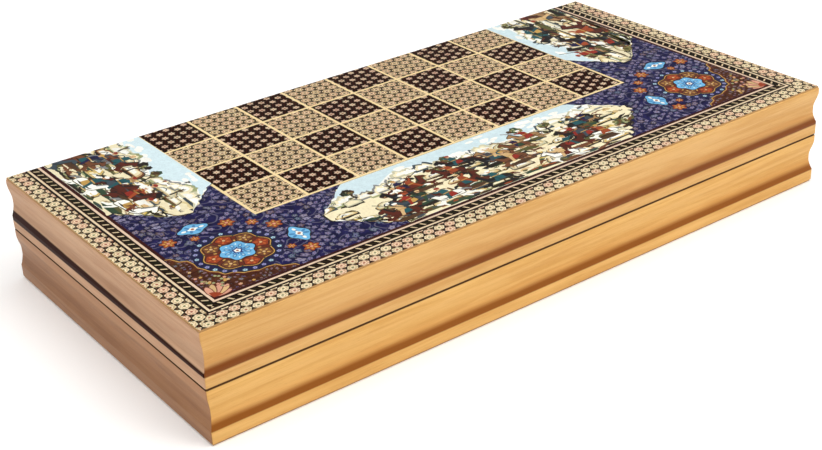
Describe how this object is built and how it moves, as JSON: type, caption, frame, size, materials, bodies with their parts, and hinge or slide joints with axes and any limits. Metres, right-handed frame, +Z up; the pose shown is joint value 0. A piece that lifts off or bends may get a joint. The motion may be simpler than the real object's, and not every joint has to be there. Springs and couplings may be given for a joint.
{
  "type": "backgammon set",
  "caption": "Folding wooden games case with a chessboard on the outside, a backgammon board inside, men and dice in the tray, and two brass butt hinges.",
  "frame": {"origin": "centre of the bounding box on the resting face, case closed", "axes": "+X along the case, +Y towards the hinge side, +Z up"},
  "size_m": [0.5, 0.2532, 0.0734],
  "materials": {
    "front_rail_wood": "golden tan, glossy varnish, dark stained groove",
    "end_rail_wood": "pinkish brown, glossy varnish, dark stained groove",
    "hinge_rail_wood": "varnished",
    "panel_wood": "plain ply",
    "star_inlay": "star marquetry, lacquered",
    "line_inlay": "line and dash marquetry, lacquered",
    "painted_field": "painted and lacquered",
    "square_dark": "dark marquetry with pale dots, lacquered",
    "square_light": "pale marquetry with dark specks, lacquered",
    "line_light": "cream stringing, lacquered",
    "playing_ground": "walnut veneer, lacquered",
    "point_dark": "dark marquetry, lacquered",
    "point_light": "pale marquetry, lacquered",
    "hinge_brass": "polished",
    "hinge_pin": "plain",
    "screw_brass": "polished",
    "man_light": "turned boxwood, waxed",
    "man_dark": "turned dark wood, waxed",
    "die_ivory": "ivory coloured with dark spots"
  },
  "bodies": {
    "lower_case": {"lower_front_rail": "front_rail_wood", "lower_left_rail": "end_rail_wood", "lower_right_rail": "end_rail_wood", "lower_hinge_rail": "hinge_rail_wood", "lower_panel": "panel_wood", "lower_star_border": "star_inlay", "lower_line_border": "line_inlay", "lower_painted_field": "painted_field", "lower_chess_squares_dark": "square_dark", "lower_chess_squares_light": "square_light", "lower_chess_lines": "line_light", "lower_playing_surface": "playing_ground", "lower_points_dark": "point_dark", "lower_points_light": "point_light", "left_hinge_lower_leaf": "hinge_brass", "left_hinge_pin": "hinge_pin", "right_hinge_lower_leaf": "hinge_brass", "right_hinge_pin": "hinge_pin", "lower_hinge_screws": "screw_brass"},
    "upper_case": {"upper_front_rail": "front_rail_wood", "upper_left_rail": "end_rail_wood", "upper_right_rail": "end_rail_wood", "upper_hinge_rail": "hinge_rail_wood", "upper_panel": "panel_wood", "upper_star_border": "star_inlay", "upper_line_border": "line_inlay", "upper_painted_field": "painted_field", "upper_chess_squares_dark": "square_dark", "upper_chess_squares_light": "square_light", "upper_chess_lines": "line_light", "upper_playing_surface": "playing_ground", "upper_points_dark": "point_dark", "upper_points_light": "point_light", "left_hinge_upper_leaf": "hinge_brass", "right_hinge_upper_leaf": "hinge_brass", "upper_hinge_screws": "screw_brass"},
    "light_men_row_1": {"light_men_row_1": "man_light"},
    "light_men_row_2": {"light_men_row_2": "man_light"},
    "light_men_row_3": {"light_men_row_3": "man_light"},
    "dark_men_row_1": {"dark_men_row_1": "man_dark"},
    "dark_men_row_2": {"dark_men_row_2": "man_dark"},
    "dark_men_row_3": {"dark_men_row_3": "man_dark"},
    "die_1": {"die_1": "die_ivory"},
    "die_2": {"die_2": "die_ivory"}
  },
  "joints": [
    {"name": "lid_hinge", "type": "hinge", "parent": "lower_case", "child": "upper_case", "pos_m": [0, 0.1236, 0.0367], "axis": [-1, 0, 0], "range_deg": [0, 180]},
    {"name": "light_men_row_1_slide", "type": "slide", "parent": "lower_case", "child": "light_men_row_1", "axis": [1, 0, 0], "range_m": [0, 0.293]},
    {"name": "light_men_row_2_slide", "type": "slide", "parent": "lower_case", "child": "light_men_row_2", "axis": [1, 0, 0], "range_m": [0, 0.072]},
    {"name": "light_men_row_3_slide", "type": "slide", "parent": "lower_case", "child": "light_men_row_3", "axis": [1, 0, 0], "range_m": [0, 0.293]},
    {"name": "dark_men_row_1_slide", "type": "slide", "parent": "lower_case", "child": "dark_men_row_1", "axis": [-1, 0, 0], "range_m": [0, 0.293]},
    {"name": "dark_men_row_2_slide", "type": "slide", "parent": "lower_case", "child": "dark_men_row_2", "axis": [-1, 0, 0], "range_m": [0, 0.076]},
    {"name": "dark_men_row_3_slide", "type": "slide", "parent": "lower_case", "child": "dark_men_row_3", "axis": [-1, 0, 0], "range_m": [0, 0.293]},
    {"name": "die_1_slide", "type": "slide", "parent": "lower_case", "child": "die_1", "axis": [1, 0, 0], "range_m": [0, 0.19]},
    {"name": "die_2_slide", "type": "slide", "parent": "lower_case", "child": "die_2", "axis": [-1, 0, 0], "range_m": [0, 0.19]}
  ]
}
